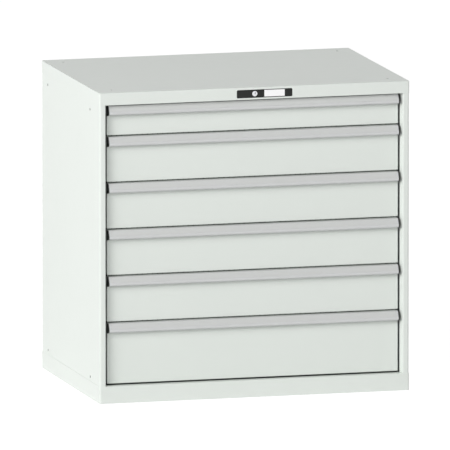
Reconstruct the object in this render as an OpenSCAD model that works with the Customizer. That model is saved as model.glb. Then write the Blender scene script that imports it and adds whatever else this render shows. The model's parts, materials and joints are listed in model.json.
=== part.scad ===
// Workshop drawer cabinet: a folded sheet-metal housing on a plinth, six full-width drawers on
// telescopic roller slides with a grip strip each, and one lock in the top cover for all drawers.
// Millimetres, +Z up, the front faces -Y. The origin is the middle of the underside.
//
// Modules that draw a side's pieces are written from the left front lower corner: X runs inwards
// from the housing's outer face, Y backwards from the front and Z up. on_left and on_right place
// them. on_middle keeps X at the cabinet's middle and Y at the front.

/* [Housing] */
// Height of the base under the drawers
base_h = 55; // [45:1:120]
// Height of the top cover's skirt above the drawers
cover_h = 40; // [39:1:60]
// Slit above and below the stack of drawers
stack_slit = 2.5; // [1.5:0.5:5]
// Space behind the drawer trays
rear_space = 67; // [50:1:150]
// Thickness of the housing's sheet steel
sheet_t = 1.5; // [1:0.1:2]
// Thickness of the base's sheet steel
base_t = 2; // [1.5:0.1:3]
// How far base and cover stand out past the side panels
side_inset = 1; // [0.5:0.1:2]
// Outer radius of the housing's upright corners
corner_r = 6; // [4:0.5:10]
// Outer radius of the top cover's upper edges
cover_edge_r = 4; // [2.5:0.5:8]
// Width of the flat face of each front post
post_face_w = 19.5; // [14:0.5:24]
// How far each post's flank leans in towards the drawers
post_lean = 6.5; // [3:0.5:10]
// Gap between each post's folded return and the side panel
post_return_gap = 5; // [3:0.5:8]
// Width of the folded flanges of the side panels
side_flange_w = 19; // [15:1:24]
// Width of the flanges around the openings of base and cover
ring_flange_w = 25; // [22:1:40]

/* [Drawers] */
// Inside width of a drawer tray
drawer_inner_w = 918; // [600:17:1122]
// Inside depth of a drawer tray
drawer_inner_d = 612; // [459:17:714]
// Front height of drawer 1, the topmost
drawer_1_h = 100; // [100:10:300]
// Front height of drawer 2
drawer_2_h = 150; // [100:10:300]
// Front height of drawer 3
drawer_3_h = 150; // [100:10:300]
// Front height of drawer 4
drawer_4_h = 150; // [100:10:300]
// Front height of drawer 5
drawer_5_h = 150; // [100:10:300]
// Front height of drawer 6, the lowest
drawer_6_h = 200; // [100:10:300]
// Thickness of the drawers' sheet steel
drawer_t = 1.5; // [1:0.1:2]
// Slit between two drawer fronts
front_slit = 4; // [3:0.5:6]
// Gap between a drawer front and the posts
front_side_gap = 4; // [3:0.5:10]
// Depth of the drawer fronts behind the front of base and cover
front_recess = 25; // [23:1:40]
// Depth of a folded drawer front
front_depth = 18; // [12:1:24]
// Outer radius of a drawer front's folds
front_fold_r = 2.5; // [2:0.5:4]
// Height of a tray's underside above the bottom of its place in the stack
tray_lift = 6; // [4:1:8]
// Free height above a tray's walls
tray_headroom = 14; // [10:1:30]

/* [Grip strips] */
// Depth of the grip strip's flat top
grip_top_d = 10; // [8:0.5:12]
// How far the grip strip reaches in front of the drawer front
grip_reach = 21; // [18:0.5:22]
// Height of the nose's middle below the grip strip's top
grip_nose_drop = 22.5; // [18:0.5:28]
// Outer radius of the grip strip's nose
grip_nose_r = 7.5; // [5:0.5:8]
// Wall of the grip strip
grip_t = 2.2; // [1.8:0.1:2.8]
// Height of the grip strip's fixing flange
grip_flange_h = 14; // [8:1:16]
// Thickness of an end cap
cap_t = 3; // [2:0.5:6]
// How far an end cap reaches down the drawer front below the nose
cap_foot = 3; // [0.5:0.5:6]
// Depth of the groove that holds the label strip
groove_d = 0.8; // [0.6:0.1:1]
// Thickness of the label strip
label_t = 0.6; // [0.4:0.1:0.8]
// Width of the slope above and below the groove
groove_border = 1.2; // [0.8:0.1:3]
// How far the label strip ends short of the grip strip's ends
label_end = 6; // [3:1:20]

/* [Slides] */
// Distance from a side panel to the drawer side of its uprights
upright_d = 22; // [22:0.5:30]
// Width of an upright
upright_w = 40; // [30:1:50]
// Front edge of the front uprights behind the front
upright_front_y = 50; // [40:1:52]
// Front edge of the rear uprights behind the front
upright_rear_y = 580; // [450:5:600]
// Height of a slot in the uprights
slot_h = 24; // [12:1:36]
// Width of a slot in the uprights
slot_w = 6; // [4:0.5:10]
// Distance between two slots in the uprights
slot_pitch = 50; // [50:5:100]
// Distance from the uprights to the tips of a fixed runner
runner_d = 12.5; // [11.5:0.5:16]
// Distance from the tray to the tips of a drawer's rail
rail_d = 9.5; // [9:0.5:14]
// Thickness of runner and rail
runner_t = 2; // [1.5:0.1:2.5]
// Inside height of runner and rail
track_h = 24; // [20:1:30]
// Height of the slides' underside above the bottom of a drawer's place
slide_lift = 8; // [6:1:10]
// Thickness of the carriage plate between runner and rail
carriage_t = 2.5; // [2:0.1:4]
// Gap between the carriage plate and the tips on either side of it
slide_gap = 1; // [0.5:0.1:2]
// Height of the carriage plate
carriage_h = 26; // [22:1:27]
// Radial play between a roller and its track
roller_play = 0.5; // [0.3:0.1:1]
// Radius of the roller pins
roller_pin_r = 3; // [2:0.5:4]
// Radial play of a roller on its pin
roller_bore_play = 0.2; // [0.1:0.05:0.4]
// Thickness of the head of a roller pin
pin_head_t = 0.6; // [0.4:0.1:1]
// Width of the rim of a roller pin's head and collar around the pin
pin_rim = 1.5; // [1:0.1:2.5]
// Length of the collar that keeps a roller off the carriage plate
collar_t = 1.4; // [1.1:0.1:2]
// Front end of runner and rail behind the front
track_front = 45; // [45:1:60]
// Distance from the front end of the rail to that of the runner
rail_start = 15; // [5:1:30]
// Distance from the rear end of the rail to the back of the tray
rail_end_gap = 3; // [1:1:20]
// Distance from the rear end of the runner to the back of the housing
runner_end_gap = 24; // [20:1:60]
// Least distance from a roller's rim to the end of its track
roller_margin = 6; // [2:1:10]
// How far the rear outer rollers stay in front of the rearmost place in their track
outer_spare = 72; // [20:1:90]
// How far the front inner rollers stay behind the foremost place in their track
inner_spare = 32; // [0:1:40]
// Length of the carriage plate past the pins of its end rollers
carriage_end = 15; // [12:1:20]
// Length that a drawer travels
drawer_travel = 640; // [400:10:700]

/* [Lock] */
// Height of the lock's middle below the top
lock_drop = 21.5; // [20:0.5:24]
// Width of the lock plate
lock_plate_w = 183.4; // [150:0.1:260]
// Height of the lock plate
lock_plate_h = 26.5; // [24:0.5:27]
// Radius of the lock plate's corners
lock_plate_r = 4; // [2:0.5:8]
// Distance of the lock plate's middle to the right of the lock
lock_plate_shift = 32.4; // [0:0.1:40]
// Depth of the lock plate's face behind the face of the cover
lock_plate_sink = 1; // [1:0.1:2]
// Thickness of the lock plate
lock_plate_t = 2; // [1.5:0.1:3]
// Width of the rim behind the cover that holds the lock plate
lock_plate_rim = 1.5; // [1:0.1:2]
// Width of the card on the lock plate
card_w = 67; // [40:1:80]
// Height of the card
card_h = 21.5; // [15:0.5:22]
// Thickness of the card
card_t = 0.5; // [0.3:0.1:0.6]
// Distance of the card's middle to the right of the lock
card_shift = 65.2; // [50:0.1:80]
// Radius of the lock's turning core
core_r = 8.5; // [7:0.5:9]
// How far the core stands out of the lock plate
core_proud = 0.7; // [0.3:0.1:0.9]
// Play of the core and of the spindle in their bores
core_play = 0.3; // [0.2:0.05:0.5]
// Wall of the sleeve around the core
sleeve_t = 2; // [1:0.1:2.5]
// Length of the sleeve behind the lock plate
sleeve_l = 22; // [15:1:40]
// Radius of the spindle behind the core
spindle_r = 4; // [3:0.5:5]
// Turn of the key from open to locked, in degrees
lock_turn = 90; // [80:1:100]
// Travel of the cross bar and of the lock bar
lock_travel = 12; // [10:0.5:12]
// Radius of the pins in the linkage
link_pin_r = 2.5; // [2:0.1:3]
// Play of those pins in their slots
link_play = 0.7; // [0.5:0.05:1]
// Thickness of cam, bars and crank
link_t = 3; // [2:0.5:4]
// Gap between two layers of the linkage
link_gap = 2; // [1:0.5:3]
// Metal left around a pin or a slot of the linkage
link_rim = 1.5; // [1:0.1:2.5]
// Gap between a pin of the linkage and the plate behind it
link_end_gap = 0.5; // [0.3:0.1:0.8]
// Depth of the cam's face behind the front
link_y = 94; // [92:1:96]
// Height of the cross bar
cross_bar_h = 14; // [13:0.5:16]
// Length of the crank's arms
crank_r = 22; // [20:0.5:24]
// Radius of the crank's hub
crank_hub_r = 8; // [7:0.5:9]
// Radius of the crank's pivot pin
pivot_r = 4; // [3:0.5:5]
// Radial play of the crank on its pivot pin
pivot_play = 0.1; // [0.05:0.05:0.2]
// Distance of the lock bar's middle from the housing's outer face
lock_bar_x = 16.5; // [16:0.5:17]
// Width of the lock bar
lock_bar_w = 11; // [9:0.5:12]
// Width of the lock bar's head
lock_head_w = 16; // [15:0.5:17]
// Height of the hooks and of the catches on the drawers
catch_h = 10; // [8:1:12]
// Height of a catch's underside above the bottom of its drawer's place
catch_lift = 52; // [50:1:56]
// Thickness of a catch
catch_t = 3; // [2:0.5:4]
// Width of a catch
catch_w = 20; // [16:1:21]
// Gap between a hook at rest and its catch above
catch_gap = 4; // [3:0.5:5]
// How far a hook reaches across under its catch
hook_reach = 8; // [4:0.5:11]

/* [Holes and screws] */
// Radius of the holes for joining cabinets side by side
side_hole_r = 4; // [3:0.5:6]
// Distance of those holes from the front
side_hole_front = 120; // [110:1:200]
// Distance of those holes from the back
side_hole_rear = 75; // [50:1:100]
// Distance of those holes from the underside and from the top
side_hole_end = 69; // [69:1:110]
// Radius of the holes in the top
top_hole_r = 4.5; // [3:0.5:6]
// Distance of the top holes from the sides
top_hole_side = 56.5; // [50:0.5:80]
// Distance of the top holes from the front and from the back
top_hole_front = 60.5; // [50:0.5:70]
// Radius of the screws' shanks
screw_r = 3; // [2:0.5:4]
// Radial play of a screw in its hole
screw_play = 0.3; // [0.2:0.1:0.5]
// Radius of the screws' heads
screw_head_r = 5; // [4.5:0.5:6]
// Height of the screws' heads
screw_head_h = 3; // [2:0.5:4]
// Distance of the screws from the housing's outer face
screw_x = 12; // [10:0.5:13]
// Height of the low heads of the back panel's screws
back_head_h = 0.8; // [0.4:0.1:0.8]
// Length of the screws' shanks
screw_l = 6; // [5:0.5:9]
// Number of screws along each side, under the cover and on the base
side_screw_count = 3; // [2:1:5]
// Distance from the front and the back at which the spacing of those screws begins
side_screw_end = 40; // [30:1:60]
// Number of screws up each edge of the back panel
back_screw_count = 5; // [2:1:7]
// Distance of the outermost of those screws from base and cover
back_screw_end = 45; // [30:1:80]

/* [Hidden] */
$fn = 48;
// Straight pieces that stand for the arc of one fold
fold_steps = 8;
// Radius of a tight fold on the middle of the sheet, in thicknesses of the sheet
tight_fold = 1.5;
// Length by which a cut runs past what it cuts
past = 1;

drawer_heights = [drawer_1_h, drawer_2_h, drawer_3_h, drawer_4_h, drawer_5_h, drawer_6_h];
drawers = [1:len(drawer_heights)];

// Across one side, from the outer face inwards
panel_in = side_inset + sheet_t;
upright_x = panel_in + upright_d;
runner_tip = upright_x + runner_d;
carriage_x = runner_tip + slide_gap;
carriage_in = carriage_x + carriage_t;
rail_tip = carriage_in + slide_gap;
tray_x = rail_tip + rail_d;
cabinet_w = 2 * (tray_x + drawer_t) + drawer_inner_w;

// From the front backwards
tray_y = front_recess + front_depth;
tray_d = drawer_inner_d + 2 * drawer_t;
cabinet_d = tray_y + tray_d + rear_space;
cabinet_back = cabinet_d - side_inset;

// From the ground up
function height_above(n) = n <= 1 ? 0 : drawer_heights[n - 2] + height_above(n - 1);
stack_h = height_above(len(drawer_heights) + 1);
stack_top = base_h + stack_slit + stack_h;
cover_z = stack_top + stack_slit;
cabinet_h = cover_z + cover_h;
function place_top(n) = stack_top - height_above(n);
function place_bottom(n) = stack_top - height_above(n + 1);

post_edge = side_inset + post_face_w;
post_inner = post_edge + post_lean;
front_x = post_inner + front_side_gap;
front_w = cabinet_w - 2 * front_x;
grip_w = front_w - 2 * cap_t;
label_w = grip_w - 2 * label_end;

channel_h = track_h + 2 * runner_t;
roller_r = track_h / 2 - roller_play;
slide_mid = slide_lift + channel_h / 2;
rail_front = track_front + rail_start;
rail_back = tray_y + tray_d - rail_end_gap;
runner_back = cabinet_back - runner_end_gap;
carriage_travel = drawer_travel / 2;
// The rollers stay in their tracks from closed to fully open
roller_end = roller_r + roller_margin;
outer_roller_front = track_front + roller_end + carriage_travel;
outer_roller_back = runner_back - roller_end - outer_spare;
inner_roller_front = rail_front + roller_end + inner_spare;
inner_roller_back = rail_back - roller_end - carriage_travel;
carriage_front = inner_roller_front - carriage_end;
carriage_back = outer_roller_back + carriage_end;

// The linkage's layers, from the front backwards
bar_y = link_y + link_t + link_gap;
link_back = bar_y + link_t + link_gap;
link_pin_l = link_back - link_end_gap - link_y;
catch_y = link_back;
lock_z = cabinet_h - lock_drop;
cam_r = lock_travel / 2 / sin(lock_turn / 2);
cam_low = cam_r * cos(lock_turn / 2);
link_z = lock_z + (cam_r + cam_low) / 2;
crank_half_turn = asin(lock_travel / 2 / crank_r);
crank_low = crank_r * cos(crank_half_turn);
pivot_z = link_z - (crank_r + crank_low) / 2;
pivot_x = lock_bar_x + crank_low;
head_pin_z = pivot_z - lock_travel / 2;
slot_across = 2 * (link_pin_r + link_play);
cover_under = cabinet_h - sheet_t;

// ---------------------------------------------------------------- places

module on_left() translate([-cabinet_w / 2, -cabinet_d / 2, 0]) children();

module on_right() mirror([1, 0, 0]) on_left() children();

module on_both_sides() {
    on_left() children();
    on_right() children();
}

module on_middle() translate([0, -cabinet_d / 2, 0]) children();

// ---------------------------------------------------------------- shapes

function unit(v) = v / norm(v);
function left_of(v) = [-v[1], v[0]];
function turned(a) = [cos(a), sin(a)];
function arc_points(centre, r, from, to, steps = fold_steps) =
    [for (i = [0:steps]) centre + r * turned(from + (to - from) * i / steps)];

// The fold at corner b of a path a-b-c, as pairs of a point on the sheet's middle and its normal
function fold(a, b, c, r) =
    let (
        u = unit(b - a),
        v = unit(c - b),
        heading = atan2(u[1], u[0]),
        turn = asin(u[0] * v[1] - u[1] * v[0]),
        bend = u * v >= 0 ? turn : sign(turn) * (180 - abs(turn)),
        side = sign(bend),
        centre = b - u * r * tan(abs(bend) / 2) + left_of(u) * r * side
    )
    [for (i = [0:fold_steps])
        let (n = left_of(turned(heading + bend * i / fold_steps))) [centre - n * r * side, n]];

// Outline of a sheet that follows a path along its middle, with a radius for each inner corner
function folded_outline(path, radii, t) =
    let (
        last = len(path) - 1,
        rows = concat(
            [[path[0], left_of(unit(path[1] - path[0]))]],
            [for (i = [1:last - 1]) each fold(path[i - 1], path[i], path[i + 1], radii[i - 1])],
            [[path[last], left_of(unit(path[last] - path[last - 1]))]]
        )
    )
    concat(
        [for (row = rows) row[0] + row[1] * t / 2],
        [for (i = [len(rows) - 1:-1:0]) rows[i][0] - rows[i][1] * t / 2]
    );

function rounded_rectangle(w, d, r) = concat(
    arc_points([w / 2 - r, d / 2 - r], r, 0, 90),
    arc_points([r - w / 2, d / 2 - r], r, 90, 180),
    arc_points([r - w / 2, r - d / 2], r, 180, 270),
    arc_points([w / 2 - r, r - d / 2], r, 270, 360)
);

function arched(w, h, r) = concat(
    [[-w / 2, 0], [w / 2, 0]],
    arc_points([w / 2 - r, h - r], r, 0, 90),
    arc_points([r - w / 2, h - r], r, 90, 180)
);

// Draws an outline in X and Z, and extrudes it backwards from Y = 0
module extrude_back(length) translate([0, length, 0]) rotate([90, 0, 0]) linear_extrude(length) children();

// A block around the Z axis with round upright corners and round upper edges
module soft_block(w, d, h, corner, edge) {
    intersection() {
        linear_extrude(h) polygon(rounded_rectangle(w, d, corner));
        translate([0, -d / 2 - past, 0]) extrude_back(d + 2 * past) polygon(arched(w, h, edge));
        rotate([0, 0, 90]) translate([0, -w / 2 - past, 0])
            extrude_back(w + 2 * past) polygon(arched(d, h, edge));
    }
}

// A C-shaped track that lies along Y with its web at X = 0 and opens towards +X
module track(depth, length) {
    extrude_back(length) difference() {
        square([depth, channel_h]);
        translate([runner_t, runner_t]) square([depth, track_h]);
    }
}

// A round bar along +X
module bar_x(r, length) rotate([0, 90, 0]) cylinder(r = r, h = length);

// A round bar along +Y
module bar_y(r, length) translate([0, length, 0]) rotate([90, 0, 0]) cylinder(r = r, h = length);

// ---------------------------------------------------------------- housing

module base_frame() {
    inner_w = cabinet_w - 2 * base_t;
    inner_d = cabinet_d - 2 * base_t;
    color("#dfe3df") difference() {
        linear_extrude(base_h) polygon(rounded_rectangle(cabinet_w, cabinet_d, corner_r));
        translate([0, 0, base_t]) linear_extrude(base_h - 2 * base_t)
            polygon(rounded_rectangle(inner_w, inner_d, corner_r - base_t));
        translate([0, 0, -past]) linear_extrude(base_t + 2 * past) square(
            [cabinet_w - 2 * ring_flange_w, cabinet_d - 2 * ring_flange_w], center = true
        );
        on_both_sides() for (y = side_screws()) translate([screw_x, y, base_h - base_t - past])
            cylinder(r = screw_r + screw_play, h = base_t + 2 * past);
    }
}

// The panel, its front post and its rear flange are one folded sheet
function side_path() =
    let (mid = side_inset + sheet_t / 2, back = cabinet_back - sheet_t / 2)
    [
        [side_inset + side_flange_w, back],
        [mid, back],
        [mid, mid],
        [post_edge - sheet_t / 2, mid],
        [post_inner - sheet_t / 2, front_recess + sheet_t / 2],
        [panel_in + post_return_gap, front_recess + sheet_t / 2],
    ];

function side_screws() = [for (i = [1:side_screw_count])
    side_screw_end + i * (cabinet_d - 2 * side_screw_end) / (side_screw_count + 1)];

module side_flange() {
    front = front_recess + sheet_t;
    difference() {
        translate([panel_in, front, 0])
            cube([side_flange_w - sheet_t, cabinet_back - sheet_t - front, sheet_t]);
        for (y = side_screws()) translate([screw_x, y, -past])
            cylinder(r = screw_r + screw_play, h = sheet_t + 2 * past);
    }
}

module side_panel() {
    corner_mid_r = corner_r - sheet_t / 2;
    tight = tight_fold * sheet_t;
    radii = [corner_mid_r, corner_mid_r, tight, tight];
    difference() {
        union() {
            translate([0, 0, base_h]) linear_extrude(cover_z - base_h)
                polygon(folded_outline(side_path(), radii, sheet_t));
            translate([0, 0, base_h]) side_flange();
            translate([0, 0, cover_z - sheet_t]) side_flange();
        }
        for (y = [side_hole_front, cabinet_d - side_hole_rear])
            for (z = [side_hole_end, cabinet_h - side_hole_end])
                translate([-past, y, z]) bar_x(side_hole_r, panel_in + 2 * past);
        for (z = back_screws()) translate([screw_x, cabinet_back - sheet_t - past, z])
            bar_y(screw_r + screw_play, sheet_t + 2 * past);
    }
}

// The way of the lock bar and the crank through the flanges of side panel and cover
module linkage_notch() {
    room = 1.5;
    edge = lock_bar_x - lock_head_w / 2 - room;
    translate([edge, link_y - room, cover_z - sheet_t - past])
        cube([ring_flange_w + past - edge, link_back - link_y + 2 * room, 2 * sheet_t + 2 * past]);
}

module side_left() color("#e6eae6") on_left() side_panel();

module side_right() color("#e6eae6") on_right() difference() {
    side_panel();
    linkage_notch();
}

function back_screws() = [for (i = [0:back_screw_count - 1])
    base_h + back_screw_end + i * (cover_z - base_h - 2 * back_screw_end) / (back_screw_count - 1)];

module back_panel() {
    edge = side_inset + corner_r;
    color("#dde1dd") difference() {
        on_left() translate([edge, cabinet_back - 2 * sheet_t, base_h + sheet_t])
            cube([cabinet_w - 2 * edge, sheet_t, cover_z - base_h - 2 * sheet_t]);
        on_both_sides() for (z = back_screws())
            translate([screw_x, cabinet_back - 2 * sheet_t - past, z])
                bar_y(screw_r + screw_play, sheet_t + 2 * past);
    }
}

module lock_plate_outline(grow = 0) translate([lock_plate_shift, 0]) polygon(rounded_rectangle(
    lock_plate_w + 2 * grow, lock_plate_h + 2 * grow, lock_plate_r
));

module top_cover() {
    inner = 2 * sheet_t;
    color("#dfe3df") difference() {
        translate([0, 0, cover_z])
            soft_block(cabinet_w, cabinet_d, cover_h, corner_r, cover_edge_r);
        translate([0, 0, cover_z + sheet_t]) soft_block(
            cabinet_w - inner, cabinet_d - inner, cover_h - inner,
            corner_r - sheet_t, cover_edge_r - sheet_t
        );
        translate([0, 0, cover_z - past]) linear_extrude(sheet_t + 2 * past) square(
            [cabinet_w - 2 * ring_flange_w, cabinet_d - 2 * ring_flange_w], center = true
        );
        for (x = [-1, 1], y = [-1, 1]) translate([
            x * (cabinet_w / 2 - top_hole_side), y * (cabinet_d / 2 - top_hole_front),
            cover_under - past
        ]) cylinder(r = top_hole_r, h = sheet_t + 2 * past);
        on_middle() translate([0, -past, lock_z])
            extrude_back(sheet_t + 2 * past) lock_plate_outline();
        on_both_sides() for (y = side_screws()) translate([screw_x, y, cover_z - past])
            cylinder(r = screw_r + screw_play, h = sheet_t + 2 * past);
        on_right() linkage_notch();
    }
}

// A slotted channel that stands with its web towards the drawers
module upright(y) {
    bottom = base_h + sheet_t;
    height = cover_z - base_h - 2 * sheet_t;
    slots = floor((height - slot_pitch) / slot_pitch);
    color("#b9bdbc") translate([panel_in, y, bottom]) difference() {
        cube([upright_d, upright_w, height]);
        translate([-past, sheet_t, -past])
            cube([upright_d - sheet_t + past, upright_w - 2 * sheet_t, height + 2 * past]);
        for (i = [1:slots]) translate([
            upright_d - sheet_t - past, (upright_w - slot_w) / 2, i * slot_pitch - slot_h / 2
        ]) cube([sheet_t + 2 * past, slot_w, slot_h]);
    }
}

module screw(head_h) {
    cylinder(r = screw_head_r, h = head_h);
    translate([0, 0, -screw_l]) cylinder(r = screw_r, h = screw_l);
}

module housing_screws() {
    color("#a9adac") on_both_sides() {
        for (y = side_screws()) {
            translate([screw_x, y, cover_z + sheet_t]) screw(screw_head_h);
            translate([screw_x, y, base_h + sheet_t]) screw(screw_head_h);
        }
        for (z = back_screws())
            translate([screw_x, cabinet_back, z]) rotate([-90, 0, 0]) screw(back_head_h);
    }
}

// ---------------------------------------------------------------- slides

// A roller on its pin. The pin starts at the carriage plate at X = 0 and runs along +X.
module roller(width) {
    far = collar_t + 2 * roller_bore_play + width;
    bar_x(roller_pin_r, far + pin_head_t);
    bar_x(roller_pin_r + pin_rim, collar_t);
    translate([far, 0, 0]) bar_x(roller_pin_r + pin_rim, pin_head_t);
    translate([collar_t + roller_bore_play, 0, 0]) difference() {
        bar_x(roller_r, width);
        translate([-past, 0, 0]) bar_x(roller_pin_r + roller_bore_play, width + 2 * past);
    }
}

function roller_width(depth) =
    depth - runner_t + slide_gap - collar_t - 2 * roller_bore_play - 2 * pin_head_t;

module runners(n) {
    color("#b4b8b7") on_both_sides()
        translate([upright_x, track_front, place_bottom(n) + slide_lift])
            track(runner_d, runner_back - track_front);
}

module carriages(n) {
    color("#c3c7c6") on_both_sides() translate([0, 0, place_bottom(n) + slide_mid]) {
        translate([carriage_x, carriage_front, -carriage_h / 2])
            cube([carriage_t, carriage_back - carriage_front, carriage_h]);
        for (y = [outer_roller_front, outer_roller_back])
            translate([carriage_x, y, 0]) mirror([1, 0, 0]) roller(roller_width(runner_d));
        for (y = [inner_roller_front, inner_roller_back])
            translate([carriage_in, y, 0]) roller(roller_width(rail_d));
    }
}

// ---------------------------------------------------------------- drawers

module tray(n) {
    height = drawer_heights[n - 1] - tray_lift - tray_headroom;
    color("#cfd3cf") {
        translate([0, 0, place_bottom(n) + tray_lift]) on_left() difference() {
            translate([tray_x, tray_y, 0]) cube([cabinet_w - 2 * tray_x, tray_d, height]);
            translate([tray_x + drawer_t, tray_y + drawer_t, drawer_t])
                cube([drawer_inner_w, drawer_inner_d, height]);
        }
        on_both_sides() translate([tray_x, rail_front, place_bottom(n) + slide_lift])
            mirror([1, 0, 0]) track(rail_d, rail_back - rail_front);
        on_right() translate([tray_x - catch_w, catch_y, place_bottom(n) + catch_lift])
            cube([catch_w, catch_t, catch_h]);
    }
}

module drawer_front(n) {
    height = drawer_heights[n - 1] - front_slit;
    middle = place_bottom(n) + drawer_heights[n - 1] / 2;
    inner = 2 * drawer_t;
    color("#e2e6e2") on_middle() translate([0, tray_y, middle]) rotate([90, 0, 0]) difference() {
        soft_block(front_w, height, front_depth, drawer_t, front_fold_r);
        translate([0, 0, -past]) soft_block(
            front_w - inner, height - inner, front_depth - drawer_t + past,
            drawer_t / 2, front_fold_r - drawer_t
        );
    }
}

// The grip strip's section. X runs forwards from the drawer front and Y up from the strip's top.
nose = [grip_reach - grip_nose_r, -grip_nose_drop];
slope_top = [grip_top_d, 0];
slope_reach = norm(nose - slope_top);
slope_heading = atan2(nose[1] - slope_top[1], nose[0] - slope_top[0]) + asin(grip_nose_r / slope_reach);
slope_dir = turned(slope_heading);
slope_normal = left_of(slope_dir);
slope_length = sqrt(slope_reach * slope_reach - grip_nose_r * grip_nose_r);
lip_angle = -110;
nose_steps = 12;
function on_slope(along, depth) = slope_top + slope_dir * along - slope_normal * depth;

function grip_section() =
    let (
        inner_r = grip_nose_r - grip_t,
        start = slope_heading + 90,
        rise = nose[1] + inner_r * sin(start) + grip_t,
        inner_end = nose + inner_r * turned(start) + slope_dir * (rise / -slope_dir[1])
    )
    concat(
        [[0, 0], slope_top, on_slope(groove_border, 0), on_slope(groove_border, groove_d)],
        [on_slope(slope_length - groove_border, groove_d), on_slope(slope_length - groove_border, 0)],
        arc_points(nose, grip_nose_r, start, lip_angle, nose_steps),
        arc_points(nose, inner_r, lip_angle, start, nose_steps),
        [inner_end, [grip_t, -grip_t], [grip_t, -grip_flange_h], [0, -grip_flange_h]]
    );

function cap_section() = concat(
    [[0, 0], slope_top],
    arc_points(nose, grip_nose_r, slope_heading + 90, lip_angle, nose_steps),
    [[0, nose[1] - grip_nose_r - cap_foot]]
);

function label_section() = [
    on_slope(groove_border, groove_d),
    on_slope(slope_length - groove_border, groove_d),
    on_slope(slope_length - groove_border, groove_d - label_t),
    on_slope(groove_border, groove_d - label_t),
];

// Extrudes a section of the grip strip along the drawer front, over a width about the middle
module along_front(n, width) {
    on_middle() translate([-width / 2, front_recess, place_top(n) - front_slit / 2])
        rotate([90, 0, -90]) mirror([0, 0, 1]) linear_extrude(width) children();
}

module grip(n) color("#c9cbcb") along_front(n, grip_w) polygon(grip_section());

module label_strip(n) color("#d9dbd9") along_front(n, label_w) polygon(label_section());

module caps(n) {
    color("#26282a") difference() {
        along_front(n, front_w) polygon(cap_section());
        on_middle() translate([-grip_w / 2, -past, place_top(n) - drawer_heights[n - 1] / 2])
            cube([grip_w, front_recess + 2 * past, drawer_heights[n - 1]]);
    }
}

// ---------------------------------------------------------------- lock

module lock_plate() {
    color("#2b2d2e") on_middle() translate([0, lock_plate_sink, lock_z]) difference() {
        union() {
            extrude_back(lock_plate_t) lock_plate_outline();
            translate([0, sheet_t - lock_plate_sink, 0])
                extrude_back(lock_plate_t - sheet_t + lock_plate_sink) lock_plate_outline(lock_plate_rim);
            bar_y(core_r + core_play + sleeve_t, sleeve_l);
        }
        translate([0, -past, 0]) bar_y(core_r + core_play, sleeve_l + 2 * past);
    }
}

module lock_card() {
    color("white") on_middle()
        translate([card_shift - card_w / 2, lock_plate_sink - card_t, lock_z - card_h / 2])
            cube([card_w, card_t, card_h]);
}

// The turning core with its key slot, and the spindle that carries the cam
module lock_core() {
    face = lock_plate_sink - core_proud;
    key_w = 1.8;
    key_h = 8;
    key_d = 12;
    color("#cfd2d4") on_middle() translate([0, 0, lock_z]) {
        difference() {
            translate([0, face, 0]) bar_y(core_r, sleeve_l - face);
            translate([-key_w / 2, face - past, -key_h / 2]) cube([key_w, key_d + past, key_h]);
        }
        translate([0, sleeve_l, 0]) bar_y(spindle_r, link_y + link_t - sleeve_l);
    }
}

module lock_cam() {
    rim = cam_r + link_pin_r + link_rim;
    color("#a4a8a8") on_middle() translate([0, link_y, lock_z]) difference() {
        union() {
            bar_y(rim, link_t);
            translate([lock_travel / 2, 0, cam_low]) bar_y(link_pin_r, link_pin_l);
        }
        translate([0, -past, 0]) bar_y(spindle_r, link_t + 2 * past);
    }
}

module cross_bar() {
    cam_slot_x = lock_travel / 2;
    crank_slot_x = cabinet_w / 2 - pivot_x + lock_travel / 2;
    slot_up = slot_across + cam_r - cam_low - link_play;
    end_rim = 5;
    end = slot_across / 2 + end_rim;
    color("#b4b8b7") on_middle() translate([0, bar_y, link_z]) difference() {
        translate([cam_slot_x - end, 0, -cross_bar_h / 2])
            cube([crank_slot_x - cam_slot_x + 2 * end, link_t, cross_bar_h]);
        for (x = [cam_slot_x, crank_slot_x])
            translate([x - slot_across / 2, -past, -slot_up / 2])
                cube([slot_across, link_t + 2 * past, slot_up]);
    }
}

// One arm of the crank, from the pivot out to its pin, turned up from the X axis
module crank_arm(angle) {
    arm_r = link_pin_r + link_rim;
    rotate([0, -angle, 0]) {
        translate([0, 0, -arm_r]) cube([crank_r, link_t, 2 * arm_r]);
        translate([crank_r, 0, 0]) bar_y(arm_r, link_t);
        translate([crank_r, 0, 0]) bar_y(link_pin_r, link_pin_l);
    }
}

module bell_crank() {
    color("#a4a8a8") on_right() translate([pivot_x, link_y, pivot_z]) difference() {
        union() {
            bar_y(crank_hub_r, link_t);
            crank_arm(90 + crank_half_turn);
            crank_arm(180 + crank_half_turn);
        }
        translate([0, -past, 0]) bar_y(pivot_r + pivot_play, link_t + 2 * past);
    }
}

// The upright bar with a hook under each drawer's catch
module lock_bar() {
    bottom = place_bottom(len(drawer_heights)) + catch_lift - catch_gap - catch_h;
    head_h = 20;
    slot_along = 2 * (link_pin_r + link_play) + crank_r - crank_low;
    hook_tip = tray_x - catch_w + hook_reach;
    color("#b4b8b7") on_right() translate([0, bar_y, 0]) difference() {
        union() {
            translate([lock_bar_x - lock_bar_w / 2, 0, bottom])
                cube([lock_bar_w, link_t, head_pin_z - bottom]);
            translate([lock_bar_x - lock_head_w / 2, 0, head_pin_z - head_h / 2])
                cube([lock_head_w, link_t, head_h]);
            for (n = drawers) translate([
                lock_bar_x, 0, place_bottom(n) + catch_lift - catch_gap - catch_h
            ]) cube([hook_tip - lock_bar_x, link_t, catch_h]);
        }
        translate([lock_bar_x - slot_along / 2, -past, head_pin_z - slot_across / 2])
            cube([slot_along, link_t + 2 * past, slot_across]);
    }
}

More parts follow.
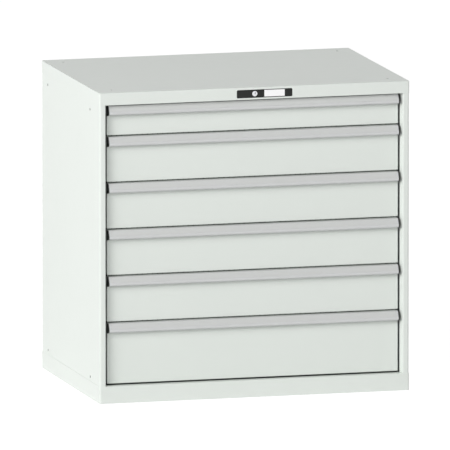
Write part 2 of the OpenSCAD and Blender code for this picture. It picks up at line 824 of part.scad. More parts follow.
// Plate with a fixing flange under the cover, behind or in front of the plate
module hanger(w, bottom, flange_side) {
    flange_d = 14;
    translate([-w / 2, 0, bottom]) cube([w, link_t, cover_under - bottom]);
    translate([-w / 2, flange_side > 0 ? 0 : link_t - flange_d, cover_under - link_t])
        cube([w, flange_d, link_t]);
}

module spindle_bearing() {
    w = 34;
    foot = 12;
    difference() {
        hanger(w, lock_z - foot, -1);
        translate([0, -past, lock_z]) bar_y(spindle_r + core_play, link_t + 2 * past);
    }
}

// The crank's hanger with its pivot pin and the collar that keeps the crank on it
module crank_bearing() {
    w = 24;
    foot = 10;
    collar_rim = 2;
    collar_l = 1.5;
    hanger_y = link_back + link_end_gap;
    collar_y = link_y - link_end_gap - collar_l;
    translate([pivot_x, 0, 0]) {
        translate([0, hanger_y, 0]) hanger(w, pivot_z - foot, 1);
        translate([0, collar_y + collar_l, pivot_z]) bar_y(pivot_r, hanger_y - collar_y - collar_l);
        translate([0, collar_y, pivot_z]) bar_y(pivot_r + collar_rim, collar_l);
    }
}

// A block on the side panel in which the lock bar slides, above drawer n's catch
module bar_guide(n) {
    h = 12;
    wall = 3.5;
    play = 0.5;
    room_above_catch = 8;
    bottom = place_bottom(n) + catch_lift + 2 * catch_h + room_above_catch;
    passage = [lock_bar_w + 2 * play, link_t + 2 * play, h + 2 * past];
    passage_at = [lock_bar_x - passage[0] / 2, bar_y - play, bottom - past];
    difference() {
        translate([panel_in, passage_at[1] - wall, bottom])
            cube([passage_at[0] + passage[0] + wall - panel_in, passage[1] + 2 * wall, h]);
        translate(passage_at) cube(passage);
    }
}

module lock_brackets() {
    color("#9da1a1") {
        on_middle() translate([0, link_y - link_gap - link_t, 0]) spindle_bearing();
        on_right() crank_bearing();
        on_right() for (n = [2:2:len(drawer_heights)]) bar_guide(n);
    }
}

// ---------------------------------------------------------------- the cabinet

base_frame();
side_left();
side_right();
back_panel();
top_cover();
on_left() upright(upright_front_y);  // upright_front_left
on_right() upright(upright_front_y);  // upright_front_right
on_left() upright(upright_rear_y);  // upright_rear_left
on_right() upright(upright_rear_y);  // upright_rear_right
lock_plate();
lock_card();
lock_brackets();
housing_screws();
lock_core();
lock_cam();
cross_bar();
bell_crank();
lock_bar();
for (n = drawers) {
    runners(n);
    carriages(n);
    tray(n);
    drawer_front(n);
    grip(n);
    caps(n);
    label_strip(n);
}
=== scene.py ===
import json
import math
from contextlib import contextmanager

import bmesh
import bpy
from bpy.props import FloatProperty, FloatVectorProperty, PointerProperty
from mathutils import Matrix, Vector

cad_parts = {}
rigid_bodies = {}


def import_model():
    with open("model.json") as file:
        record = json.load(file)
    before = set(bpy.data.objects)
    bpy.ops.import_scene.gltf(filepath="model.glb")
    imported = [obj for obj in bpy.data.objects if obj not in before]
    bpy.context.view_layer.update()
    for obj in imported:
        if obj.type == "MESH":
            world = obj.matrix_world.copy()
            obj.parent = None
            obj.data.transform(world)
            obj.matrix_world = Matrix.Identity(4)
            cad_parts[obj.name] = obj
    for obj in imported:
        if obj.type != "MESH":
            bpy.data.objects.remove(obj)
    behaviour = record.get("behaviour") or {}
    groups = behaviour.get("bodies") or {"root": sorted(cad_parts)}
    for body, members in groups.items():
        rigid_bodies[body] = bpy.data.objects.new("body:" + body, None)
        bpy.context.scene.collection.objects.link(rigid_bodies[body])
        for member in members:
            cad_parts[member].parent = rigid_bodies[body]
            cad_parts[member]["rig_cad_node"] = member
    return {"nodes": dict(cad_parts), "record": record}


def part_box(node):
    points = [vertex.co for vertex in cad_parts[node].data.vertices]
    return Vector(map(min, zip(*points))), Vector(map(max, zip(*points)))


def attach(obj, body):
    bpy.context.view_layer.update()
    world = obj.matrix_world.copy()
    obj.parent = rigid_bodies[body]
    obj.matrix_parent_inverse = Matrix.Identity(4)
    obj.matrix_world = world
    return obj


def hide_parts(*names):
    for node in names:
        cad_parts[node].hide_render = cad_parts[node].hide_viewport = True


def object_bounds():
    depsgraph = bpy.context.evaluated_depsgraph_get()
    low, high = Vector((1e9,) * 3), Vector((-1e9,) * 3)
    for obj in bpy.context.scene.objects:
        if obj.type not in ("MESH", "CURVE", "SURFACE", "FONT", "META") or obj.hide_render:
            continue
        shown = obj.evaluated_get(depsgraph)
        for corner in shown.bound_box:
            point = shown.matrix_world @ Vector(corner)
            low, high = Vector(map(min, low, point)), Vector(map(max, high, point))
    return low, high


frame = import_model()
CAD_BOX = [Vector(corner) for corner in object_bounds()]

bl_info = {
    "name": "Workshop drawer cabinet",
    "version": (1, 0, 0),
    "blender": (4, 5, 0),
    "location": "3D View > Sidebar > Cabinet",
    "description": "Fronts, grips, trays, lock, finishes and studio for a workshop drawer cabinet",
    "category": "Add Mesh",
}

MM = 0.001
WELD = 0.01 * MM  # corners closer than this become one
DRAWERS = range(1, 7)
GRIP_LOW, GRIP_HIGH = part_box("drawer_1_grip")
MIDDLE = (CAD_BOX[0] + CAD_BOX[1]) / 2

# How fine the patterns of the finishes are, in repeats a metre
CLOUDS, GLOSS_SPOTS, PEEL, FINE_PEEL = 2.5, 30, 620, 2400
BRUSHED, BRUSHED_ALONG = 900, 6
MOULD_GRAIN, SMUDGES = 1500, 25
SPANGLE, HAZE, ROLLED, ROLLED_ALONG = 45, 8, 700, 12
POLISH, STAINS = 300, 60
FIBRE = 900


# ------------------------------------------------------------------ settings


def colour(name, description, default):
    return FloatVectorProperty(
        name=name, description=description, default=default, subtype="COLOR", size=3, min=0, max=1
    )


def length(name, description, millimetres):
    return FloatProperty(
        name=name, description=description, default=millimetres * MM, min=0,
        subtype="DISTANCE", unit="LENGTH", precision=5,
    )


def angle(name, description, degrees):
    return FloatProperty(
        name=name, description=description, default=math.radians(degrees),
        subtype="ANGLE", unit="ROTATION",
    )


def share(name, description, default, high=1.0):
    return FloatProperty(name=name, description=description, default=default, min=0, max=high)


class CabinetColours(bpy.types.PropertyGroup):
    housing: colour("Housing", "Powder coat of the housing", (0.76, 0.80, 0.76))
    # Painted shade: a dark colour laid on the housing's inside, behind the drawers and round the side
    # holes, so that the gaps look dark
    painted_shade: colour("Painted_shade", "Undercoat inside the housing", (0.10, 0.11, 0.10))
    fronts: colour("Fronts", "Powder coat of the drawer fronts", (0.75, 0.79, 0.75))
    trays: colour("Trays", "Powder coat of the trays", (0.70, 0.73, 0.70))
    grips: colour("Grips", "Anodised aluminium of the grip strips", (0.62, 0.63, 0.63))
    plastic: colour("Plastic", "Black plastic of end caps and lock plate", (0.013, 0.014, 0.013))
    roller: colour("Rollers", "Nylon of the rollers in the slides", (0.62, 0.61, 0.57))
    label: colour("Label", "Paper of the label strips", (0.60, 0.61, 0.60))
    card: colour("Card", "Card beside the lock", (0.98, 0.98, 0.98))
    chrome: colour("Lock", "Nickel of the lock", (0.75, 0.76, 0.78))
    zinc: colour("Zinc", "Zinc plating of slides and uprights", (0.50, 0.52, 0.53))
    floor: colour("Floor", "Floor under the cabinet", (0.85, 0.85, 0.85))


class CabinetSizes(bpy.types.PropertyGroup):
    housing_wall: length("Housing wall", "Sheet of the housing", 1.6)
    post_room: length("Post room", "Depth of posts and back fold, that the side holes keep clear of", 40)
    sheet_edge: length("Sheet edge", "Rounding of cut sheet edges", 0.3)
    track_edge: length("Track edge", "Rounding of the edges of rails and runners", 0.25)
    front_wall: length("Front wall", "Sheet of a drawer front", 1.5)
    front_fold: length("Front fold", "Radius of a drawer front's folded edges", 2.5)
    front_lip: length("Front lip", "Return lip at the back of a drawer front", 9)
    grip_top: length("Grip top", "Depth of a grip strip's flat top", 10)
    grip_drop: length("Nose drop", "Height of the nose's middle below the top", 22.5)
    grip_nose: length("Nose radius", "Outer radius of a grip strip's nose", 7.5)
    grip_wall: length("Grip wall", "Wall of a grip strip", 2.2)
    grip_flange: length("Grip flange", "Height of a grip strip's fixing flange", 14)
    grip_lip: angle("Grip lip", "Where the nose ends under itself", -110)
    grip_edge: length("Grip edge", "Rounding of a grip strip's edges", 0.35)
    groove: length("Groove", "Depth of the label groove", 0.8)
    groove_border: length("Groove border", "Slope above and below the groove", 1.2)
    label_wall: length("Label", "Thickness of a label strip", 0.5)
    label_play: length("Label play", "Play of a label strip in its groove", 0.3)
    label_edge: length("Label edge", "Rounding of a label strip's edges", 0.12)
    cap_border: length("Cap border", "Border around the sunk face of an end cap", 1.2)
    cap_sink: length("Cap sink", "Depth of that face", 0.3)
    cap_edge: length("Cap edge", "Rounding of an end cap's edges", 0.25)
    tray_wall: length("Tray wall", "Sheet of a tray", 1.5)
    grid: length("Grid", "Pitch of the slots and holes in a tray", 17)
    slot: length("Slot", "Width of a slot in a tray's wall", 3)
    hole: length("Hole", "Width of a hole in a tray's floor", 5)
    hem: length("Hem", "Width of the hem around a tray", 3)
    hem_drop: length("Hem drop", "Height of the hem's folded edge", 3.9)
    rail_wall: length("Rail wall", "Wall of rails and runners", 2)
    rail_depth: length("Rail depth", "Depth of a tray's rails", 9.5)
    rail_height: length("Rail height", "Height of a tray's rails", 28)
    rail_lift: length("Rail lift", "Height of the rails' underside above the tray's", 2)
    rail_start: length("Rail start", "Front end of the rails behind the tray's front", 17)
    rail_end: length("Rail end", "Rear end of the rails before the tray's back", 3)
    runner_depth: length("Runner depth", "Depth of a fixed runner", 12.5)
    carriage_plate: length("Carriage plate", "Middle of a carriage plate from the cabinet's middle", 472.25)
    carriage_wall: length("Carriage wall", "Thickness of a carriage plate", 2.5)
    catch_wall: length("Catch wall", "Thickness of a tray's catch", 3)
    catch_height: length("Catch height", "Height of a tray's catch", 10)
    catch_lift: length("Catch lift", "Height of the catch's underside above the tray's", 46)
    catch_start: length("Catch start", "Face of the catch behind the tray's front", 61)
    catch_flange: length("Catch flange", "Length of the flange that holds the catch", 15)
    plate_corner: length("Plate corner", "Radius of the lock plate's corners", 4)
    plate_wall: length("Plate wall", "Thickness of the lock plate", 2)
    plate_rim: length("Plate rim", "Rim behind the cover that holds the lock plate", 1.5)
    plate_edge: length("Plate edge", "Rounding of the lock plate's edges", 0.35)
    sleeve: length("Sleeve", "Outer radius of the sleeve around the core", 10.8)
    core: length("Core", "Radius of the lock's core", 8.5)
    core_play: length("Core play", "Gap around the lock's core", 0.3)
    core_border: length("Core border", "Border around the core's sunk face", 2.55)
    core_edge: length("Core edge", "Rounding of the core's edges", 0.25)
    spindle: length("Spindle", "Radius of the spindle behind the core", 4)
    key_slot: length("Key slot", "Width of the key slot", 2.6)
    key_height: length("Key height", "Height of the key slot", 8)
    key_depth: length("Key depth", "Depth of the key slot", 12)
    card_corner: length("Card corner", "Radius of the card's corners", 0.8)
    card_edge: length("Card edge", "Rounding of the card's edges", 0.08)


class CabinetStudio(bpy.types.PropertyGroup):
    azimuth: angle("Azimuth", "Camera's turn from straight ahead", -15.17)
    elevation: angle("Elevation", "Camera's height above level", 9.17)
    distance: FloatProperty(name="Distance", description="Camera to the cabinet's middle",
                            default=66.01, subtype="DISTANCE", unit="LENGTH")
    aim_drop: length("Aim drop", "How far below the cabinet's middle the camera aims", 1)
    lens: FloatProperty(name="Lens", description="Focal length", default=1650, unit="CAMERA")
    key: share("Key", "Strength of the main lamp on a surface that faces it", 0.6, 2)
    key_azimuth: angle("Key azimuth", "Main lamp's turn from straight ahead", -54)
    key_elevation: angle("Key elevation", "Main lamp's height above level", 24)
    key_distance: FloatProperty(name="Key distance", description="Main lamp to the cabinet's middle",
                                default=17, subtype="DISTANCE", unit="LENGTH")
    key_width: FloatProperty(name="Key width", description="Diameter of the main lamp",
                             default=9, subtype="DISTANCE", unit="LENGTH")
    level_light: share("Level light", "Strength of the light from all round, at eye level", 1.18, 4)
    high_light: share("High light", "Strength of the light from straight above", 0, 4)
    floor_size: FloatProperty(name="Floor size", description="Width of the floor", default=60,
                              subtype="DISTANCE", unit="LENGTH")
    floor_glow: share("Floor glow", "Brightness of the floor where the camera sees it", 0.92)
    floor_shade: share("Floor shade", "How much of the shadow on it the camera sees", 0.25)


# ------------------------------------------------------------------ finishes


class Wire:
    """A shader node's output. Arithmetic on it adds Math nodes."""

    def __init__(self, finish, socket):
        self.finish = finish
        self.socket = socket

    def math(self, operation, first, second):
        return self.finish.add("Math", {"operation": operation}, [first, second])

    def __add__(self, other):
        return self.math("ADD", self, other)

    def __radd__(self, other):
        return self.math("ADD", other, self)

    def __rsub__(self, other):
        return self.math("SUBTRACT", other, self)

    def __mul__(self, other):
        return self.math("MULTIPLY", self, other)

    def __gt__(self, other):
        return self.math("GREATER_THAN", self, other)

    def __lt__(self, other):
        return self.math("LESS_THAN", self, other)


class Finish:
    """A procedural material on Object coordinates."""

    def __init__(self, name, base, roughness, **constants):
        self.material = bpy.data.materials.new(name)
        self.material.use_nodes = True
        self.tree = self.material.node_tree
        self.shader = self.tree.nodes["Principled BSDF"]
        self.place = self.add("TexCoord", output="Object")
        self.set("Base Color", (*base, 1))
        self.set("Roughness", roughness)
        for socket, value in constants.items():
            self.set(socket.replace("_", " ").title().replace("Ior", "IOR"), value)
        self.material.diffuse_color = (*base, 1)

    def add(self, kind, settings=None, inputs=(), output=0):
        """Adds a node of that type, applies its settings, fills its sockets and returns an output."""
        node = self.tree.nodes.new("ShaderNode" + kind)
        for name, value in (settings or {}).items():
            setattr(node, name, value)
        pairs = inputs.items() if isinstance(inputs, dict) else enumerate(inputs)
        for key, value in pairs:
            if isinstance(value, Wire):
                self.tree.links.new(value.socket, node.inputs[key])
            else:
                node.inputs[key].default_value = value
        return Wire(self, node.outputs[output])

    def set(self, socket, value):
        """Gives the shader's socket a value or a link."""
        if isinstance(value, Wire):
            self.tree.links.new(value.socket, self.shader.inputs[socket])
        else:
            self.shader.inputs[socket].default_value = value

    def noise(self, scale, detail=2.0, roughness=0.5, place=None):
        return self.add("TexNoise", inputs={
            "Vector": place or self.place, "Scale": scale, "Detail": detail, "Roughness": roughness,
        })

    def stretched(self, along):
        """The place, drawn out by a factor along each axis."""
        return self.add("Mapping", inputs={"Vector": self.place, "Scale": along})

    def blended(self, factor, first, second):
        return self.add("Mix", {"data_type": "RGBA"}, {
            0: factor, 6: first if isinstance(first, Wire) else (*first, 1),
            7: second if isinstance(second, Wire) else (*second, 1),
        }, output=2)

    def bump(self, height, strength, distance):
        normal = self.add("Bump", inputs={"Height": height, "Strength": strength, "Distance": distance})
        self.set("Normal", normal)


def shade(base, factor):
    return tuple(channel * factor for channel in base)


def toned(finish, pattern, base, dark, light):
    """The base colour, between a darker and a lighter tone as the pattern goes."""
    return finish.blended(pattern, shade(base, dark), shade(base, light))


def powder_coat(name, base):
    finish = Finish(name, base, 0.42)
    finish.coat = toned(finish, finish.noise(CLOUDS), base, 0.985, 1.015)
    finish.set("Base Color", finish.coat)
    finish.set("Roughness", 0.36 + finish.noise(GLOSS_SPOTS, 3) * 0.14)
    finish.bump(finish.noise(PEEL, 1.5) + finish.noise(FINE_PEEL, 1) * 0.35, 0.22, 0.06 * MM)
    return finish


def housing_coat(name, base, painted_shade):
    """Powder coat, with painted shade: a dark colour behind the drawers and in the punched side holes,
    where shade falls.
    """
    finish = powder_coat(name, base)
    sizes = bpy.context.scene.cabinet_sizes
    wall = sizes.housing_wall
    front_low, front_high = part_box("drawer_1_front")
    spot = finish.add("SeparateXYZ", inputs=[finish.place])
    across, back, up = (Wire(finish, spot.socket.node.outputs[axis]) for axis in range(3))
    aside = finish.add("Math", {"operation": "ABSOLUTE"}, [across])
    behind = (aside < front_high.x) * (back > front_low.y + wall / 2)
    behind = behind * (back < CAD_BOX[1].y - 2 * wall)
    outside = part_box("side_right")[1].x - wall / 8
    punched = (aside > outside - wall) * (aside < outside)
    punched = punched * (back > CAD_BOX[0].y + sizes.post_room) * (back < CAD_BOX[1].y - sizes.post_room)
    # Painted shade: the inside behind the drawer fronts and the side skin round the punched holes take the
    # dark colour
    painted_shade_mask = (behind + punched) * (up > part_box("base_frame")[1].z - wall / 2)
    painted_shade_mask = painted_shade_mask * (up < CAD_BOX[1].z - wall / 2)
    finish.set("Base Color", finish.blended(painted_shade_mask, finish.coat, painted_shade))
    return finish


def anodised(name, base):
    finish = Finish(name, base, 0.4, metallic=0.35)
    grain = finish.noise(1, 3, place=finish.stretched((BRUSHED_ALONG, BRUSHED, BRUSHED)))
    finish.set("Base Color", toned(finish, grain, base, 0.96, 1.04))
    finish.set("Roughness", 0.34 + grain * 0.18)
    finish.bump(grain, 0.12, 0.03 * MM)
    return finish


def black_plastic(name, base):
    finish = Finish(name, base, 0.5, specular_ior_level=0.3)
    grain = finish.noise(MOULD_GRAIN, 2)
    finish.set("Base Color", toned(finish, finish.noise(SMUDGES), base, 0.85, 1.2))
    finish.set("Roughness", 0.42 + grain * 0.16)
    finish.bump(grain, 0.3, 0.04 * MM)
    return finish


def zinc_plate(name, base):
    finish = Finish(name, base, 0.36, metallic=1.0)
    cells = finish.add("TexVoronoi", inputs={"Vector": finish.place, "Scale": SPANGLE}, output="Color")
    cell = finish.add("SeparateColor", inputs=[cells])
    haze = finish.noise(HAZE, 3)
    finish.set("Base Color", toned(finish, cell * 0.5 + haze * 0.5, base, 0.88, 1.1))
    finish.set("Roughness", 0.26 + cell * 0.08 + haze * 0.12)
    marks = finish.noise(1, 2, place=finish.stretched((ROLLED, ROLLED_ALONG, ROLLED)))
    finish.bump(marks, 0.08, 0.03 * MM)
    return finish


def carriage(name, base, roller):
    """Zinc-plated plates with nylon rollers on both of their faces."""
    sizes = bpy.context.scene.cabinet_sizes
    finish = zinc_plate(name, base)
    across = finish.add("SeparateXYZ", inputs=[finish.place])
    aside = finish.add("Math", {"operation": "ABSOLUTE"}, [across])
    half = sizes.carriage_wall / 2 + 0.1 * MM
    rollers = (aside > sizes.carriage_plate + half) + (aside < sizes.carriage_plate - half)
    finish.set("Base Color", finish.blended(rollers, base, roller))
    finish.set("Metallic", 1 - rollers)
    finish.set("Roughness", 0.3 + rollers * 0.2 + finish.noise(HAZE, 3) * 0.1)
    return finish


def nickel(name, base):
    finish = Finish(name, base, 0.18, metallic=1.0)
    finish.set("Roughness", 0.12 + finish.noise(POLISH, 3) * 0.14)
    finish.set("Base Color", toned(finish, finish.noise(STAINS), base, 0.95, 1.03))
    return finish


def paper(name, base, film):
    """Paper, under a clear film where one is given."""
    finish = Finish(name, base, 0.6, coat_weight=film, coat_roughness=0.12)
    fibre = finish.noise(FIBRE, 4, 0.65)
    finish.set("Base Color", toned(finish, fibre, base, 0.97, 1.02))
    finish.set("Roughness", 0.55 + fibre * 0.2)
    finish.bump(fibre, 0.15, 0.03 * MM)
    return finish


def finishes():
    """Every finish by its material slot, made once."""
    made = finishes.made
    if not made:
        colours = bpy.context.scene.cabinet_colours
        made.update(
            # The housing paint carries painted shade inside the housing and in the side holes
            housing_paint=housing_coat("housing_paint", colours.housing, colours.painted_shade),
            front_paint=powder_coat("front_paint", colours.fronts),
            tray_paint=powder_coat("tray_paint", colours.trays),
            grip_aluminium=anodised("grip_aluminium", colours.grips),
            black_plastic=black_plastic("black_plastic", colours.plastic),
            label_strip=paper("label_strip", colours.label, 0.5),
            card=paper("card", colours.card, 0.0),
            lock_chrome=nickel("lock_chrome", colours.chrome),
            zinc_steel=zinc_plate("zinc_steel", colours.zinc),
            carriages=carriage("carriages", colours.zinc, colours.roller),
        )
    return made


finishes.made = {}


# ------------------------------------------------------------------ modelling


def only(piece):
    """Selects that piece alone and makes it active."""
    bpy.ops.object.select_all(action="DESELECT")
    piece.select_set(True)
    bpy.context.view_layer.objects.active = piece


def begin(name, primitive, stretch=(1, 1, 1), **settings):
    """Adds a primitive as a new piece, with its place in its mesh."""
    bpy.ops.object.select_all(action="DESELECT")
    getattr(bpy.ops.mesh, f"primitive_{primitive}_add")(**settings)
    piece = bpy.context.object
    piece.name = piece.data.name = name
    piece.scale = stretch
    bpy.ops.object.transform_apply(location=True, rotation=True, scale=True)
    return piece


def box_between(low, high):
    low, high = Vector(low), Vector(high)
    return {"size": 1, "location": (low + high) / 2, "scale": high - low}


def begin_box(name, low, high):
    return begin(name, "cube", **box_between(low, high))


@contextmanager
def editing(piece, mode="FACE"):
    only(piece)
    bpy.ops.object.mode_set(mode="EDIT")
    bpy.ops.mesh.select_mode(type=mode)
    bpy.ops.mesh.select_all(action="DESELECT")
    yield
    bpy.ops.object.mode_set(mode="OBJECT")


def pick(kind, test):
    """In edit mode, selects those faces, edges or verts that the test holds for."""
    bpy.ops.mesh.select_all(action="DESELECT")
    mesh = bpy.context.edit_object.data
    shape = bmesh.from_edit_mesh(mesh)
    found = [item for item in getattr(shape, kind) if test(item)]
    if not found:
        raise RuntimeError(f"nothing to pick among the {kind} of {bpy.context.edit_object.name}")
    for item in found:
        item.select_set(True)
    shape.select_flush_mode()
    bmesh.update_edit_mesh(mesh)


def weld(distance=WELD):
    """In edit mode, merges all corners that lie at the same spot."""
    bpy.ops.mesh.select_all(action="SELECT")
    bpy.ops.mesh.remove_doubles(threshold=distance)


def near(value, target):
    return abs(value - target) < 0.02 * MM


def on_plane(axis, target):
    """Tests whether all of an item's corners lie on a plane across that axis."""
    return lambda item: all(near(vert.co[axis], target) for vert in item.verts)


def along(axis):
    """Tests whether an edge runs along that axis."""
    def test(edge):
        way = edge.verts[1].co - edge.verts[0].co
        return way.length > 0 and abs(way[axis]) > 0.999 * way.length
    return test


def pull(*way):
    bpy.ops.mesh.extrude_region_move(TRANSFORM_OT_translate={"value": way})


def modify(piece, kind, **settings):
    """Adds a modifier and applies it."""
    only(piece)
    modifier = piece.modifiers.new(kind.title(), kind)
    for name, value in settings.items():
        setattr(modifier, name, value)
    bpy.ops.object.modifier_apply(modifier=modifier.name)


def soften(piece, width, limit=40, segments=2):
    """Rounds the piece's sharp edges."""
    modify(piece, "BEVEL", width=width, segments=segments, limit_method="ANGLE",
           angle_limit=math.radians(limit), use_clamp_overlap=True, miter_outer="MITER_ARC")


def ease(piece, width, shortest=4 * MM):
    """Takes the edge off the piece's long sharp edges."""
    with editing(piece, "EDGE"):
        pick("edges", lambda edge: edge.is_manifold and edge.calc_length() > shortest
             and edge.calc_face_angle() > math.radians(40))
        bpy.ops.mesh.bevel(offset=width, segments=2, profile=0.5)


def copied(piece, name, shift=(0, 0, 0), mirror=None):
    """A copy with its own mesh, moved, or mirrored across an axis."""
    twin = piece.copy()
    twin.data = piece.data.copy()
    twin.name = twin.data.name = name
    bpy.context.scene.collection.objects.link(twin)
    if mirror is not None:
        twin.data.transform(Matrix.Scale(-1, 4, Vector([axis == mirror for axis in range(3)])))
        twin.data.flip_normals()
    twin.data.transform(Matrix.Translation(shift))
    return twin


def joined(name, *pieces):
    only(pieces[0])
    for piece in pieces[1:]:
        piece.select_set(True)
    bpy.ops.object.join()
    whole = bpy.context.object
    whole.name = whole.data.name = name
    return whole


def complete(piece, body, slot, *nodes):
    """Gives a finished piece its finish and its body, and hides the CAD nodes that it stands for."""
    piece.data.materials.clear()
    piece.data.materials.append(finishes()[slot].material)
    only(piece)
    bpy.ops.object.shade_smooth_by_angle(angle=math.radians(35))
    modify(piece, "WEIGHTED_NORMAL", keep_sharp=True)
    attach(piece, body)
    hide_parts(*nodes)


# ------------------------------------------------------------------ housing


class CABINET_OT_coat(bpy.types.Operator):
    """Coats the uprights, the carriages, the screws and the lock's linkage"""

    bl_idname = "cabinet.coat"
    bl_label = "Coat linkage and carriages"

    def execute(self, context):
        for row in frame["record"]["subparts"]:
            node = frame["nodes"][row["node"]]
            slot = "carriages" if row["node"].endswith("carriages") else row["material_slot"]
            node.data.materials.clear()
            node.data.materials.append(finishes()[slot].material)
        return {"FINISHED"}


def sheet_of(node):
    """A copy of a CAD node in one skin, with its long edges eased."""
    sheet = copied(frame["nodes"][node], f"{node}_sheet")
    sheet.parent = None
    del sheet["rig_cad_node"]
    with editing(sheet, "VERT"):
        weld(WELD / 10)
    ease(sheet, bpy.context.scene.cabinet_sizes.sheet_edge)
    return sheet


class CABINET_OT_housing(bpy.types.Operator):
    """Takes the edge off the folded sheets of base, sides, back and cover"""

    bl_idname = "cabinet.housing"
    bl_label = "Housing"

    def execute(self, context):
        for node in ("base_frame", "side_left", "side_right", "back_panel", "top_cover"):
            complete(sheet_of(node), "housing", "housing_paint", node)
        return {"FINISHED"}


class CABINET_OT_uprights(bpy.types.Operator):
    """Takes the edge off the slotted uprights"""

    bl_idname = "cabinet.uprights"
    bl_label = "Uprights"

    def execute(self, context):
        for place in ("front_left", "front_right", "rear_left", "rear_right"):
            node = f"upright_{place}"
            complete(sheet_of(node), "housing", "zinc_steel", node)
        return {"FINISHED"}


# ------------------------------------------------------------------ slides


def channel(name, web_x, tips_x, low, high, wall):
    """A C-shaped track along Y, with its web at one X and the tips of its lips at the other."""
    half = math.copysign(wall / 2, tips_x - web_x)
    middle = (low + high) / 2
    track = begin(name, "plane", size=1, location=(web_x + half, middle.y, middle.z),
                  rotation=(0, math.pi / 2, 0), stretch=(high.z - low.z - wall, high.y - low.y, 1))
    with editing(track, "EDGE"):
        pick("edges", along(1))
        pull(tips_x - web_x - half, 0, 0)
    modify(track, "SOLIDIFY", thickness=wall, offset=0, use_even_offset=True)
    with editing(track, "EDGE"):
        pick("edges", lambda edge: along(1)(edge) and on_plane(0, web_x)(edge))
        bpy.ops.mesh.bevel(offset=0.8 * wall, segments=3, profile=0.5)
    ease(track, bpy.context.scene.cabinet_sizes.track_edge)
    return track


class CABINET_OT_runners(bpy.types.Operator):
    """Folds the fixed runners on both sides of each drawer"""

    bl_idname = "cabinet.runners"
    bl_label = "Runners"

    def execute(self, context):
        sizes = context.scene.cabinet_sizes
        first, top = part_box("drawer_1_runners")
        left = channel("runner", first.x, first.x + sizes.runner_depth, first, top, sizes.rail_wall)
        pair = joined("drawer_1_runner_pair", left, copied(left, "runner_right", mirror=0))
        for number in DRAWERS:
            node = f"drawer_{number}_runners"
            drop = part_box(node)[1].z - top.z
            runners = pair if number == 1 else copied(pair, f"{node}_pair", (0, 0, drop))
            complete(runners, "housing", "zinc_steel", node)
        return {"FINISHED"}


# ------------------------------------------------------------------ drawers


class CABINET_OT_fronts(bpy.types.Operator):
    """Folds a pan with rounded edges and return lips for each drawer front"""

    bl_idname = "cabinet.fronts"
    bl_label = "Drawer fronts"

    def execute(self, context):
        sizes = context.scene.cabinet_sizes
        for number in DRAWERS:
            node = f"drawer_{number}_front"
            low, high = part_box(node)
            size, middle = high - low, (low + high) / 2
            front = begin_box(f"{node}_pan", low, high)
            with editing(front, "FACE"):
                pick("faces", on_plane(1, high.y))
                bpy.ops.mesh.delete(type="FACE")
            with editing(front, "EDGE"):
                pick("edges", lambda edge: not on_plane(1, high.y)(edge))
                bpy.ops.mesh.bevel(offset=sizes.front_fold, segments=5, profile=0.5)
                pick("edges", on_plane(1, high.y))
                pull(0, 0, 0)
                lips = 2 * sizes.front_lip
                bpy.ops.transform.resize(
                    value=(1 - lips / size.x, 1, 1 - lips / size.z), center_override=middle
                )
            modify(front, "SOLIDIFY", thickness=sizes.front_wall, offset=-1, use_even_offset=True)
            complete(front, f"drawer_{number}", "front_paint", node)
        return {"FINISHED"}


